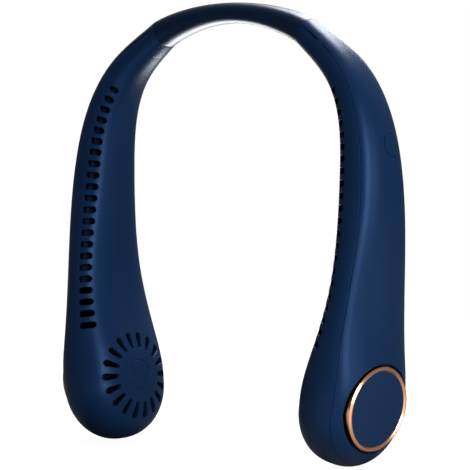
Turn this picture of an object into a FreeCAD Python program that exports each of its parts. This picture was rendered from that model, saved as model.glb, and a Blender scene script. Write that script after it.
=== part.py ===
import FreeCAD, Part
import Sketcher
import math
import os

# Electric neck fan: two hollow arms on a flexible band, each arm ending in a round blower.
# Frame: Z up, the right arm on +X, the air slots face -Y.
# The origin is the inside of the band at its crown, where it rests on the back of the neck.

doc = FreeCAD.newDocument("neck_fan")
sheet = doc.addObject("Spreadsheet::Sheet", "sizes")
Vector = FreeCAD.Vector
Placement = FreeCAD.Placement
BACK = Vector(0, 1, 0)

# Driving sizes in millimetres and degrees
DRIVING = [
    # centreline of one half, from the crown down to the blower
    ("crown_radius", 117.0),
    ("crown_angle", 18.0),
    ("shoulder_radius", 66.5),
    ("shoulder_angle", 84.0),
    ("side_radius", 283.0),
    ("toe_in_angle", 99.1),
    ("tail_run", 38.6),
    ("blower_rise", 2.8),
    # width (front to back) and thickness (inside to outside) along the centreline
    ("crown_width", 13.0),
    ("crown_thickness", 9.5),
    ("neck_run", 49.8),
    ("neck_width", 15.0),
    ("neck_thickness", 13.5),
    ("shoulder_run", 95.1),
    ("shoulder_width", 25.0),
    ("shoulder_thickness", 18.4),
    ("waist_run", 135.9),
    ("waist_width", 32.3),
    ("waist_thickness", 22.6),
    ("flare_run", 181.2),
    ("flare_width", 43.2),
    ("flare_thickness", 22.6),
    ("disc_diameter", 52.0),
    ("disc_thickness", 35.0),
    ("crown_power", 2.6),
    ("disc_power", 2.45),
    # casing
    ("wall", 1.8),
    ("parting_share", 0.5),
    ("parting_gap", 0.2),
    ("seam_run", 46.0),
    ("seam_gap", 0.15),
    ("block_length", 12.0),
    ("fit_gap", 0.15),
    ("press_gap", 0.03),
    # air slots along the front inner edge
    ("slot_count", 22),
    ("first_slot_run", 82.5),
    ("slot_pitch", 5.53),
    ("slot_width", 3.1),
    ("slot_share", 0.29),
    ("slot_seat", 0.53),
    ("slot_tilt", 28.0),
    ("slot_reach", 3.0),
    # radial intake grille on the inside of each blower
    ("grille_count", 18),
    ("grille_margin", 5.5),
    ("grille_inner", 12.7),
    ("grille_outer_width", 3.2),
    ("grille_inner_width", 2.0),
    ("hub_ring_radius", 7.1),
    ("hub_ring_width", 0.5),
    ("hub_ring_depth", 0.25),
    # round intake on the outside, with its cap and trim ring
    ("intake_margin", 5.7),
    ("intake_lip", 1.5),
    ("recess_depth", 6.3),
    ("recess_floor", 1.5),
    ("spoke_count", 4),
    ("spoke_width", 2.6),
    ("cap_boss_radius", 7.0),
    ("cap_post_radius", 5.0),
    ("ring_band", 2.0),
    ("cap_flange", 1.2),
    ("ring_skirt_wall", 0.87),
    ("ring_clearance", 1.2),
    ("ring_bevel", 0.7),
    ("ring_crest", 0.5),
    ("ring_lip_rise", 0.05),
    ("ring_height", 2.5),
    ("ring_sunk", 1.6),
    ("cap_sunk", 0.7),
    # blower motor and impeller, heights measured from the inside of the inner wall
    ("motor_boss_radius", 9.6),
    ("motor_boss_height", 1.2),
    ("motor_plate_radius", 9.2),
    ("motor_plate", 1.2),
    ("bearing_radius", 2.0),
    ("bearing_length", 2.0),
    ("bearing_seat", 0.5),
    ("bearing_tube_wall", 0.65),
    ("bearing_tube_length", 8.2),
    ("shaft_radius", 0.75),
    ("shaft_clearance", 0.05),
    ("shaft_end_gap", 0.3),
    ("shaft_sunk", 0.2),
    ("stator_radius", 6.9),
    ("stator_height", 4.4),
    ("stator_gap", 1.4),
    ("pole_count", 6),
    ("pole_width", 1.5),
    ("pole_root", 0.4),
    ("yoke_width", 1.2),
    ("coil_build", 0.7),
    ("coil_overhang", 0.6),
    ("coil_inner_gap", 0.3),
    ("coil_outer_gap", 0.5),
    ("air_gap", 0.45),
    ("magnet_thickness", 1.0),
    ("magnet_step", 0.3),
    ("magnet_roof_gap", 1.2),
    ("can_wall", 0.6),
    ("can_gap", 0.8),
    ("can_height", 8.4),
    ("hub_wall", 1.2),
    ("hub_lift", 1.0),
    ("web_margin", 0.8),
    ("impeller_clearance", 2.8),
    ("blade_inner", 12.8),
    ("blade_sweep", 17.0),
    ("blade_curve", 8.0),
    ("blade_thickness", 0.9),
    ("blade_tuck", 0.15),
    ("blade_count", 23),
    ("blade_height", 17.5),
    ("blade_lift", 2.8),
    ("rim_width", 1.8),
    ("rim_height", 1.1),
    ("scroll_margin", 4.8),
    ("scroll_shift", 1.0),
    ("scroll_wall", 1.2),
    ("scroll_height", 19.5),
    # duct plate, cells and board
    ("plate_offset", 2.9),
    ("plate_thickness", 1.0),
    ("plate_start", 70.0),
    ("plate_end", 180.0),
    ("cell_length", 44.0),
    ("cell_width", 19.0),
    ("cell_thickness", 8.0),
    ("cell_round", 2.0),
    ("cell_run", 154.0),
    ("board_length", 27.0),
    ("board_width", 18.0),
    ("board_thickness", 1.2),
    ("board_run", 112.0),
    # power button with its switch
    ("button_run", 111.0),
    ("button_back", 3.0),
    ("button_radius", 4.9),
    ("button_gap", 0.2),
    ("button_flange", 1.2),
    ("button_lip", 0.9),
    ("button_flange_depth", 3.8),
    ("button_stem_radius", 1.5),
    ("switch_width", 6.0),
    ("switch_height", 3.5),
    ("plunger_radius", 1.7),
    ("plunger_proud", 1.1),
    ("plunger_length", 2.2),
    ("plunger_gap", 0.1),
    ("plunger_floor", 0.2),
    ("button_travel", 0.5),
    # charging socket on the back edge of the right arm
    ("socket_width", 8.94),
    ("socket_height", 3.26),
    ("socket_depth", 7.3),
    ("socket_wall", 0.3),
    ("socket_back", 1.0),
    ("tongue_width", 6.6),
    ("tongue_thickness", 0.7),
    ("tongue_sunk", 1.0),
    ("socket_run", 120.0),
    ("socket_inset", 1.6),
    ("socket_gap", 0.2),
    # silicone band with a spring strip and a cable inside
    ("spigot_length", 7.0),
    ("spigot_thickness", 8.0),
    ("spigot_width", 9.4),
    ("channel_thickness", 5.2),
    ("channel_width", 7.0),
    ("strip_width", 5.6),
    ("strip_thickness", 0.8),
    ("strip_offset", 1.0),
    ("strip_tail", 3.5),
    ("cable_radius", 0.8),
    ("cable_offset", 1.2),
    ("cable_back", 2.4),
    ("cable_end_gap", 2.0),
    # screws and their covers
    ("cover_length", 8.6),
    ("cover_width", 9.0),
    ("cover_depth", 1.4),
    ("cover_margin", 0.5),
    ("cover_corner", 2.0),
    ("clamp_screw_radius", 1.0),
    ("clamp_head_radius", 1.9),
    ("clamp_head", 1.3),
    ("clamp_screw_hole", 1.3),
    ("clamp_end_gap", 0.4),
    ("cap_screw_radius", 1.1),
    ("cap_screw_head_radius", 2.2),
    ("cap_screw_head", 1.4),
    ("cap_screw_bite", 1.9),
    ("cap_bore_relief", 0.3),
    ("motor_screw_radius", 0.7),
    ("motor_screw_head_radius", 1.25),
    ("motor_screw_head", 0.7),
    ("motor_screw_circle", 6.6),
    ("motor_screw_bite", 1.6),
    ("motor_hole_rise", 0.4),
    ("motor_screw_count", 3),
    ("lead_radius", 0.45),
    ("lead_height", 2.75),
    ("lead_clearance", 0.8),
    ("lead_wall_gap", 0.05),
]

# Sizes that follow from the driving ones
DERIVED = [
    ("intake_radius", "=disc_diameter / 2 - intake_margin"),
    ("ring_radius", "=intake_radius - ring_clearance"),
    ("cap_radius", "=ring_radius - ring_band"),
    ("grille_outer", "=disc_diameter / 2 - grille_margin"),
    ("scroll_radius", "=disc_diameter / 2 - scroll_margin"),
    ("impeller_radius", "=scroll_radius - impeller_clearance"),
    ("base_top", "=motor_boss_height + motor_plate"),
    ("tube_top", "=base_top + bearing_tube_length"),
    ("tube_radius", "=bearing_radius + bearing_tube_wall"),
    ("bearing_bore", "=shaft_radius + shaft_clearance"),
    ("bearing_outer", "=bearing_radius - press_gap"),
    ("stator_bottom", "=base_top + stator_gap"),
    ("stator_bore", "=tube_radius + press_gap"),
    ("stator_yoke", "=stator_bore + yoke_width"),
    ("magnet_bore", "=stator_radius + air_gap"),
    ("magnet_outer", "=magnet_bore + magnet_thickness"),
    ("can_bore", "=magnet_outer + press_gap"),
    ("can_radius", "=can_bore + can_wall"),
    ("can_bottom", "=base_top + can_gap"),
    ("can_top", "=can_bottom + can_height"),
    ("can_roof", "=can_top - can_wall"),
    ("magnet_bottom", "=can_bottom + magnet_step"),
    ("magnet_top", "=can_roof - magnet_roof_gap"),
    ("shaft_bottom", "=base_top + shaft_end_gap"),
    ("shaft_top", "=can_top + hub_wall - shaft_sunk"),
    ("shaft_seat", "=shaft_radius + press_gap"),
    ("hub_bore", "=can_radius + press_gap"),
    ("hub_radius", "=hub_bore + hub_wall"),
    ("hub_bottom", "=can_bottom + hub_lift"),
    ("hub_top", "=can_top + hub_wall"),
    ("web_radius", "=impeller_radius - web_margin"),
    ("blade_bottom", "=base_top + blade_lift"),
    ("blade_top", "=blade_bottom + blade_height"),
    ("blade_out_x", "=impeller_radius * cos(blade_sweep * 1 deg) - blade_tuck"),
    ("blade_out_y", "=impeller_radius * sin(blade_sweep * 1 deg) - blade_thickness"),
    ("blade_out_y2", "=blade_out_y + blade_thickness"),
    ("rim_inner", "=impeller_radius - rim_width"),
    ("upper_rim", "=blade_top - rim_height"),
    ("cap_top", "=recess_depth - ring_sunk - cap_sunk"),
    ("ring_top", "=recess_depth - ring_sunk"),
    ("ring_bottom", "=ring_top - ring_height"),
    ("ring_seat", "=ring_bottom + cap_flange"),
    ("ring_bore", "=cap_radius + press_gap"),
    ("ring_skirt", "=ring_radius - ring_skirt_wall"),
    ("cap_flange_radius", "=ring_skirt - press_gap"),
    ("ring_shoulder", "=ring_top - ring_bevel"),
    ("ring_crest_out", "=ring_radius - ring_bevel"),
    ("ring_crest_in", "=ring_crest_out - ring_crest"),
    ("ring_lip", "=cap_top + ring_lip_rise"),
    ("cap_bore", "=cap_screw_radius + press_gap"),
    ("cap_bore_top", "=cap_screw_bite + cap_bore_relief"),
    ("cap_flange_top", "=ring_seat"),
]

row = 0
for alias, value in DRIVING + DERIVED:
    row += 1
    sheet.set("A%d" % row, alias)
    sheet.set("B%d" % row, str(value))
    sheet.setAlias("B%d" % row, alias)
doc.recompute()


def size(alias):
    """Number in a cell of the sheet; the alias 0 stands for zero."""
    return 0.0 if alias == "0" else float(sheet.get(alias))


def cell(alias):
    """Expression that reads a cell."""
    return "sizes." + alias


nodes = []


def node(obj, label):
    """Name a finished piece and list it for writing."""
    obj.Label = label
    nodes.append(obj)
    return obj


# Centreline: tangent arcs from the crown, then a straight run to the blower axis
HEADINGS = [0.0, math.radians(size("crown_angle")), math.radians(size("shoulder_angle"))]
HEADINGS.append(math.radians(size("toe_in_angle")))
RADII = [size("crown_radius"), size("shoulder_radius"), size("side_radius")]
ARC_RUNS = [RADII[i] * (HEADINGS[i + 1] - HEADINGS[i]) for i in range(3)]
TOTAL_RUN = sum(ARC_RUNS) + size("tail_run")
BLOWER_RUN = TOTAL_RUN - size("blower_rise")
CROWN_Z = size("crown_thickness") / 2


def centre(run):
    """Point on the centreline and heading below +X; negative runs lie on the left half."""
    if run < 0:
        point, heading = centre(-run)
        return Vector(-point.x, 0, point.z), -heading
    x = 0.0
    z = CROWN_Z
    left = run
    for radius, start, stop, length in zip(RADII, HEADINGS, HEADINGS[1:], ARC_RUNS):
        turned_to = min(stop, start + left / radius)
        x += radius * (math.sin(turned_to) - math.sin(start))
        z += radius * (math.cos(turned_to) - math.cos(start))
        if left <= length:
            return Vector(x, 0, z), turned_to
        left -= length
    heading = HEADINGS[-1]
    return Vector(x + left * math.cos(heading), 0, z - left * math.sin(heading)), heading


def outward(run):
    """Unit normal of the centreline, pointing away from the neck."""
    heading = centre(run)[1]
    return Vector(math.sin(heading), 0, math.cos(heading))


def along(run):
    """Unit tangent of the centreline, pointing from the crown to the right blower."""
    heading = centre(run)[1]
    return Vector(math.cos(heading), 0, -math.sin(heading))


def local_frame(run, out=0.0, back=0.0, down=0.0):
    """Frame on the centreline: local X to the back, Y towards the crown, Z outward."""
    normal = outward(run)
    tangent = along(run)
    origin = centre(run)[0] + normal * out + BACK * back + tangent * down
    return Placement(origin, FreeCAD.Rotation(BACK, -tangent, normal, "ZXY"))


# Width and thickness of the section as smooth laws through the named stations
STATIONS = ["crown", "neck", "shoulder", "waist", "flare", "disc"]
LAW_RUNS = [0.0] + [size(name + "_run") for name in STATIONS[1:-1]] + [TOTAL_RUN]
LAW_WIDTHS = [size(name + "_width") for name in STATIONS[:-1]] + [size("disc_diameter")]
LAW_THICKS = [size(name + "_thickness") for name in STATIONS]
law = Part.BSplineCurve()
law.interpolate(
    Points=[Vector(r, w, k) for r, w, k in zip(LAW_RUNS, LAW_WIDTHS, LAW_THICKS)],
    Parameters=LAW_RUNS,
    InitialTangent=Vector(1, 0, 0),
    FinalTangent=Vector(1, 0, 0),
    Scale=False,
)


def half_width(run):
    return law.value(abs(run)).y / 2


def half_thick(run):
    return law.value(abs(run)).z / 2


def power(run):
    share = abs(run) / TOTAL_RUN
    return size("crown_power") * (1 - share) + size("disc_power") * share


SECTION_POINTS = 24


def oval(run, thick, width, exponent):
    """Closed curve |a/thick|^exponent + |b/width|^exponent = 1 across the centreline."""
    point = centre(run)[0]
    normal = outward(run)
    points = []
    for index in range(SECTION_POINTS):
        angle = 2 * math.pi * index / SECTION_POINTS
        c = math.cos(angle)
        s = math.sin(angle)
        reach = (abs(c) ** exponent + abs(s) ** exponent) ** (-1 / exponent)
        points.append(point + normal * (thick * reach * c) + BACK * (width * reach * s))
    curve = Part.BSplineCurve()
    curve.interpolate(Points=points, PeriodicFlag=True, Parameters=evenly(0, 1, len(points) + 1))
    return curve


def section(run, inset):
    """Outline of the casing at a run, drawn in by inset."""
    return oval(run, half_thick(run) - inset, half_width(run) - inset, power(run))


def evenly(start, stop, count):
    return [start + (stop - start) * i / (count - 1) for i in range(count)]


def loft(curves):
    return Part.makeLoft([Part.Wire(curve.toShape()) for curve in curves], True)


def side_curve(run, inset, outer, level):
    """Part of the casing outline, drawn in by inset, that lies outward or inward of a level."""
    thick = half_thick(run) - inset
    width = half_width(run) - inset
    exponent = power(run)
    share = level(run) / thick
    corner = math.atan2((1 - abs(share) ** exponent) ** (1 / exponent), share)
    start, stop = (-corner, corner) if outer else (corner, 2 * math.pi - corner)
    point = centre(run)[0]
    normal = outward(run)
    points = []
    for angle in evenly(start, stop, SECTION_POINTS - 7):
        c = math.cos(angle)
        s = math.sin(angle)
        reach = (abs(c) ** exponent + abs(s) ** exponent) ** (-1 / exponent)
        points.append(point + normal * (thick * reach * c) + BACK * (width * reach * s))
    curve = Part.BSplineCurve()
    curve.interpolate(Points=points, Parameters=evenly(0, 1, len(points)))
    return curve


def line(start, stop):
    return Part.LineSegment(start, stop).toShape()


def side_solid(start, inset, outer, level):
    """One side of the arm: lofted sections down to the blower, then half a turn about its axis."""
    wires = []
    for run in evenly(start, TOTAL_RUN, 8):
        curve = side_curve(run, inset, outer, level)
        wires.append(Part.Wire([curve.toShape(), line(curve.EndPoint, curve.StartPoint)]))
    stem = Part.makeLoft(wires, True)
    curve = side_curve(TOTAL_RUN, inset, outer, level)
    middle = (curve.FirstParameter + curve.LastParameter) / 2
    normal = outward(TOTAL_RUN)
    on_axis = centre(TOTAL_RUN)[0] + normal * level(TOTAL_RUN)
    if outer:
        half = curve.toShape(middle, curve.LastParameter)
        closing = [line(curve.EndPoint, on_axis), line(on_axis, curve.value(middle))]
    else:
        half = curve.toShape(curve.FirstParameter, middle)
        closing = [line(curve.value(middle), on_axis), line(on_axis, curve.StartPoint)]
    end = Part.Face(Part.Wire([half] + closing)).revolve(centre(TOTAL_RUN)[0], -normal, 180)
    return stem.fuse(end).removeSplitter()


def offset_curve(start, stop, offset, count=11):
    """Smooth edge beside the centreline; offset is a number or a law of the run."""
    reach = offset if callable(offset) else (lambda run: offset)
    points = [centre(run)[0] + outward(run) * reach(run) for run in evenly(start, stop, count)]
    curve = Part.BSplineCurve()
    curve.interpolate(Points=points)
    return curve


def strip_solid(start, stop, low, high, width):
    """Bar of constant width that follows the centreline between two offsets."""
    lower = offset_curve(start, stop, low, 15)
    upper = offset_curve(start, stop, high, 15)
    ends = [
        Part.LineSegment(lower.EndPoint, upper.EndPoint).toShape(),
        Part.LineSegment(upper.StartPoint, lower.StartPoint).toShape(),
    ]
    wire = Part.Wire([lower.toShape(), ends[0], upper.toShape().reversed(), ends[1]])
    face = Part.Face(wire)
    face.translate(BACK * (-width / 2))
    return face.extrude(BACK * width)


def parting(extra_share=0.0, rise=0.0):
    """Level of the parting line above the centreline, moved by a share of the thickness or a set amount."""
    return lambda run: (size("parting_share") + extra_share) * half_thick(run) + rise


# Document helpers
def feature(name, shape):
    obj = doc.addObject("Part::Feature", name)
    obj.Shape = shape
    return obj


def cut(name, base, tool):
    obj = doc.addObject("Part::Cut", name)
    obj.Base = base
    obj.Tool = tool
    return obj


def fuse(name, parts):
    obj = doc.addObject("Part::MultiFuse", name)
    obj.Shapes = parts
    return obj


def common(name, parts):
    obj = doc.addObject("Part::MultiCommon", name)
    obj.Shapes = parts
    return obj


def shift(x, y, z):
    """Placement that only moves."""
    return Placement(Vector(x, y, z), FreeCAD.Rotation())


def cylinder(name, radius, height, place):
    obj = doc.addObject("Part::Cylinder", name)
    obj.setExpression("Radius", radius)
    obj.setExpression("Height", height)
    obj.Placement = place
    return obj


def box(name, length, width, height, place):
    """Block centred on its frame in local X and Y, standing on local Z = 0; sizes are cells."""
    obj = doc.addObject("Part::Box", name)
    obj.setExpression("Length", cell(length))
    obj.setExpression("Width", cell(width))
    obj.setExpression("Height", cell(height))
    obj.Placement = place.multiply(shift(-size(length) / 2, -size(width) / 2, 0))
    return obj


def group(name, parts):
    obj = doc.addObject("Part::Compound", name)
    obj.Links = parts
    return obj


def body_on(name, place):
    body = doc.addObject("PartDesign::Body", name)
    body.Placement = place
    return body


def sketch_on(body, name, role, height=None):
    """Sketch on one of the body's own base planes, raised by a cell where one is named."""
    sketch = body.newObject("Sketcher::SketchObject", name)
    base = [item for item in body.Origin.OriginFeatures if item.Role == role][0]
    sketch.AttachmentSupport = [(base, "")]
    sketch.MapMode = "FlatFace"
    if height:
        sketch.setExpression("AttachmentOffset.Base.z", cell(height))
    return sketch


def pin(sketch, item, end, alias_x, alias_y):
    """Hold one end of a sketch line at the place that two cells give."""
    for kind, alias, axis in (("DistanceX", alias_x, -2), ("DistanceY", alias_y, -1)):
        if alias == "0":
            sketch.addConstraint(Sketcher.Constraint("PointOnObject", item, end, axis))
            continue
        index = sketch.addConstraint(Sketcher.Constraint(kind, -1, 1, item, end, size(alias)))
        sketch.setExpression("Constraints[%d]" % index, cell(alias))


def closed_profile(sketch, corners):
    """Closed outline of straight lines whose corners are pairs of cells."""
    places = [Vector(size(x), size(y), 0) for x, y in corners]
    count = len(places)
    for index in range(count):
        sketch.addGeometry(Part.LineSegment(places[index], places[(index + 1) % count]))
    for index in range(count):
        sketch.addConstraint(Sketcher.Constraint("Coincident", index, 2, (index + 1) % count, 1))
    for index, corner in enumerate(corners):
        pin(sketch, index, 1, corner[0], corner[1])


def rings(sketch, aliases):
    """Circles about the sketch origin with radii from cells."""
    for alias in aliases:
        item = sketch.addGeometry(Part.Circle(Vector(0, 0, 0), Vector(0, 0, 1), size(alias)))
        sketch.addConstraint(Sketcher.Constraint("Coincident", item, 3, -1, 1))
        index = sketch.addConstraint(Sketcher.Constraint("Radius", item, size(alias)))
        sketch.setExpression("Constraints[%d]" % index, cell(alias))


def turn(body, name, corners):
    """Full revolution of a profile about the body's Z axis."""
    sketch = sketch_on(body, name + "_profile", "XZ_Plane")
    closed_profile(sketch, corners)
    solid = body.newObject("PartDesign::Revolution", name)
    solid.Profile = sketch
    solid.ReferenceAxis = (sketch, ["V_Axis"])
    solid.Angle = 360
    sketch.Visibility = False
    return solid


def pad(body, name, sketch, length):
    solid = body.newObject("PartDesign::Pad", name)
    solid.Profile = sketch
    solid.setExpression("Length", cell(length))
    return solid


def around(body, name, original, sketch, count):
    """Copies of a feature at equal angles about the normal of its sketch."""
    pattern = body.newObject("PartDesign::PolarPattern", name)
    pattern.Originals = [original]
    pattern.Axis = (sketch, ["N_Axis"])
    pattern.Angle = 360
    pattern.setExpression("Occurrences", cell(count))
    body.Tip = pattern
    return pattern


def spun(shape, count, centre_point=Vector(0, 0, 0), axis=Vector(0, 0, 1)):
    """Copies of a shape at equal angles about an axis."""
    copies = []
    for index in range(int(count)):
        copy = shape.copy()
        copy.rotate(centre_point, axis, 360.0 * index / count)
        copies.append(copy)
    return Part.makeCompound(copies)


def stadium(middle, long_axis, short_axis, length, width, taper_width=None):
    """Face with round ends; the far end may have a width of its own."""
    near = width / 2
    far = near if taper_width is None else taper_width / 2
    near_centre = middle - long_axis * (length / 2 - near)
    far_centre = middle + long_axis * (length / 2 - far)
    corners = [near_centre + short_axis * near, far_centre + short_axis * far]
    corners += [far_centre - short_axis * far, near_centre - short_axis * near]
    edges = [
        Part.LineSegment(corners[0], corners[1]).toShape(),
        Part.Arc(corners[1], far_centre + long_axis * far, corners[2]).toShape(),
        Part.LineSegment(corners[2], corners[3]).toShape(),
        Part.Arc(corners[3], near_centre - long_axis * near, corners[0]).toShape(),
    ]
    return Part.Face(Part.Wire(edges))


X_AXIS = Vector(1, 0, 0)
Y_AXIS = Vector(0, 1, 0)
Z_AXIS = Vector(0, 0, 1)

# Frames of the blower: on the inside of the inner wall and on the intake recess floor
HALF_DISC = size("disc_thickness") / 2
floor_frame = local_frame(BLOWER_RUN, size("wall") - HALF_DISC)
recess_frame = local_frame(BLOWER_RUN, HALF_DISC - size("recess_depth"))

# Casing volumes
seam_run = size("seam_run")
block_end = seam_run + size("block_length")
seam_start = seam_run + size("seam_gap")
OPEN = 0.15
inner_form = feature("inner_form", side_solid(seam_start, 0, False, parting()))
inner_cavity = feature("inner_cavity", side_solid(block_end, size("wall"), False, parting(OPEN)))
inner_core = feature("inner_core", side_solid(block_end, size("wall") / 2, False, parting(-OPEN)))
outer_form = feature("outer_form", side_solid(seam_start, 0, True, parting(0, size("parting_gap"))))
outer_cavity = feature("outer_cavity", side_solid(block_end, size("wall"), True, parting(-OPEN)))

# Air slots: round-ended prisms square to the curved front inner edge
slot_tools = []
tilt = math.radians(size("slot_tilt"))
for index in range(int(size("slot_count"))):
    run = size("first_slot_run") + index * size("slot_pitch")
    seat = size("slot_seat")
    normal = outward(run)
    front = half_width(run) * (1 - seat ** power(run)) ** (1 / power(run))
    inward = BACK * math.cos(tilt) + normal * math.sin(tilt)
    across = normal * math.cos(tilt) - BACK * math.sin(tilt)
    on_face = centre(run)[0] - normal * (seat * half_thick(run)) - BACK * front
    length = size("slot_share") * 2 * half_thick(run)
    face = stadium(on_face - inward * size("slot_reach"), across, along(run), length, size("slot_width"))
    slot_tools.append(face.extrude(inward * (size("slot_reach") + 2.5 * size("wall"))))

# Radial grille slots and the fine ring engraved round the hub
grille_length = size("grille_outer") - size("grille_inner")
grille_face = stadium(
    Vector((size("grille_outer") + size("grille_inner")) / 2, 0, -2 * size("wall")),
    X_AXIS, Y_AXIS, grille_length, size("grille_inner_width"), size("grille_outer_width"),
)
grille = spun(grille_face.extrude(Z_AXIS * 7 * size("wall")), size("grille_count"))
ring_cut = Part.makeCylinder(size("hub_ring_radius") + size("hub_ring_width") / 2, size("wall"))
ring_cut = ring_cut.cut(Part.makeCylinder(size("hub_ring_radius") - size("hub_ring_width") / 2, size("wall")))
ring_cut.translate(Vector(0, 0, size("hub_ring_depth") - 2 * size("wall")))
grille_tools = Part.makeCompound([grille, ring_cut])
grille_tools.Placement = floor_frame
openings = feature("air_openings", Part.makeCompound(slot_tools + [grille_tools]))

# Scroll wall round the impeller, open towards the arm
scroll = Part.makeCylinder(size("scroll_radius") + size("scroll_wall"), size("scroll_height") + size("wall"))
scroll = scroll.cut(Part.makeCylinder(size("scroll_radius"), size("scroll_height") + size("wall")))
gate = Part.makeBox(1.5 * size("scroll_radius"), 2 * size("scroll_radius"), 3 * size("disc_thickness"))
gate.translate(Vector(-0.75 * size("scroll_radius"), 0.35 * size("scroll_radius"), -size("disc_thickness")))
scroll = scroll.cut(gate)
scroll.translate(Vector(size("scroll_shift"), 0, -size("wall")))
scroll.Placement = floor_frame.multiply(scroll.Placement)
scroll_raw = feature("scroll_raw", scroll)
scroll_in = common("scroll_in", [scroll_raw, inner_core])

# Motor boss on the inner wall
boss_frame = local_frame(BLOWER_RUN, size("wall") / 2 - HALF_DISC)
motor_boss = cylinder("motor_boss", cell("motor_boss_radius"),
                      "sizes.motor_boss_height + sizes.wall / 2", boss_frame)

# Spigot that plugs into the band, the room it takes there, and the channel through it
spigot_stop = seam_run - size("spigot_length")
spigot_half = size("spigot_thickness") / 2
spigot = feature("spigot", strip_solid(
    spigot_stop, seam_run + size("wall"), -spigot_half, spigot_half, size("spigot_width")))
plug_half = spigot_half + size("fit_gap")
plug = feature("plug", strip_solid(
    spigot_stop - size("fit_gap"), seam_run + size("wall") + size("fit_gap"), -plug_half, plug_half,
    size("spigot_width") + 2 * size("fit_gap")))
channel_half = size("channel_thickness") / 2
channel = feature("channel", strip_solid(
    spigot_stop - size("wall"), block_end + size("wall"), -channel_half, channel_half, size("channel_width")))

# Clamp screw axis, from the inner face outward through the strip
screw_run = seam_run + size("cover_margin") + size("cover_length") / 2
screw_depth = half_thick(screw_run) - size("cover_depth")
screw_frame = local_frame(screw_run, -screw_depth)
pocket_frame = local_frame(screw_run, -screw_depth - 3 * size("cover_depth"))
cover_prism = Part.makeBox(size("cover_width"), size("cover_length"), 3 * size("cover_depth"))
cover_prism.translate(Vector(-size("cover_width") / 2, -size("cover_length") / 2, 0))
upright = [edge for edge in cover_prism.Edges if abs(edge.tangentAt(edge.FirstParameter).z) > 0.9]
cover_prism = cover_prism.makeFillet(size("cover_corner"), upright)
pocket_shape = cover_prism.copy()
pocket_shape.Placement = pocket_frame
cover_pocket = feature("cover_pocket", pocket_shape)
clamp_counterbore = cylinder("clamp_counterbore", "sizes.clamp_head_radius + sizes.fit_gap",
                             "sizes.clamp_head + sizes.fit_gap", screw_frame)
clamp_hole = cylinder("clamp_hole", "sizes.clamp_screw_radius + sizes.press_gap",
                      "sizes.neck_thickness - 2 * sizes.cover_depth", screw_frame)
clamp_tools = fuse("clamp_tools", [cover_pocket, clamp_counterbore, clamp_hole])

# Screw holes for the motor plate
motor_hole = Part.makeCylinder(
    size("motor_screw_radius") + size("press_gap"), size("motor_screw_bite") + size("motor_boss_height"))
motor_hole.translate(Vector(
    size("motor_screw_circle"), 0, size("motor_hole_rise") - size("motor_screw_bite")))
motor_holes = spun(motor_hole, size("motor_screw_count"))
motor_holes.Placement = floor_frame
motor_hole_tools = feature("motor_hole_tools", motor_holes)

# Inner shell: deep tray with slots, grille, scroll and boss
inner_tray = cut("inner_tray", inner_form, inner_cavity)
inner_fitted = fuse("inner_fitted", [inner_tray, scroll_in, motor_boss, spigot])
inner_vented = cut("inner_vented", inner_fitted, openings)
inner_channelled = cut("inner_channelled", inner_vented, channel)
inner_drilled = cut("inner_drilled", inner_channelled, motor_hole_tools)
inner_shell = cut("inner_shell", inner_drilled, clamp_tools)

# Outer shell: shallow cover with the round intake recess and its spokes
dish_frame = local_frame(BLOWER_RUN, HALF_DISC - size("recess_depth") - size("recess_floor"))
dish_raw = cylinder("dish_raw", "sizes.intake_radius + sizes.intake_lip",
                    "sizes.disc_thickness / 2", dish_frame)
dish = common("dish", [dish_raw, outer_form])
recess = cylinder("recess", cell("intake_radius"), "sizes.disc_thickness", recess_frame)
vent = Part.makeCylinder(size("intake_radius") - size("intake_lip"), 3 * size("recess_floor"))
vent = vent.cut(Part.makeCylinder(size("cap_boss_radius"), 3 * size("recess_floor")))
vent.translate(Vector(0, 0, -2 * size("recess_floor")))
spoke = Part.makeBox(2 * size("intake_radius"), size("spoke_width"), 5 * size("recess_floor"))
spoke.translate(Vector(0, -size("spoke_width") / 2, -3 * size("recess_floor")))
vent = vent.cut(spun(spoke, size("spoke_count")))
vent.Placement = recess_frame
vent_tool = feature("vent_tool", vent)
cap_hole_frame = local_frame(BLOWER_RUN, HALF_DISC - size("recess_depth") - 2 * size("recess_floor"))
cap_hole = cylinder("cap_hole", "sizes.cap_screw_radius + sizes.fit_gap",
                    "4 * sizes.recess_floor", cap_hole_frame)
outer_cover = cut("outer_cover", outer_form, outer_cavity)
outer_dished = fuse("outer_dished", [outer_cover, dish])
outer_recessed = cut("outer_recessed", outer_dished, recess)
outer_vented = cut("outer_vented", outer_recessed, vent_tool)
outer_drilled = cut("outer_drilled", outer_vented, cap_hole)
outer_clamped = cut("outer_clamped", outer_drilled, clamp_hole)
outer_shell = cut("outer_shell", outer_clamped, plug)
doc.recompute()

# Screw cover: plug flush with the inner face
cover_shape = cover_prism.copy()
cover_shape = cover_shape.makeOffsetShape(-size("fit_gap"), 0.01)
cover_shape.Placement = pocket_frame
cover_raw = feature("cover_raw", cover_shape)
screw_cover = common("screw_cover", [cover_raw, inner_form])


def screw(name, shank, head_radius, head_height, length, place):
    """Pan head screw with a slot; its head stands on local Z = 0 and its shank points up."""
    head = cylinder(name + "_head", cell(head_radius), cell(head_height), place)
    stem = cylinder(name + "_shank", cell(shank), length, place)
    whole = fuse(name + "_blank", [head, stem])
    depth = size(head_height) * 0.45
    drive = Part.makeBox(1.3 * size(head_radius), 0.35 * size(head_radius), 2 * depth)
    drive.translate(Vector(-0.65 * size(head_radius), -0.175 * size(head_radius), -depth))
    drive.Placement = place.multiply(drive.Placement)
    return cut(name, whole, feature(name + "_drive", drive))


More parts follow.
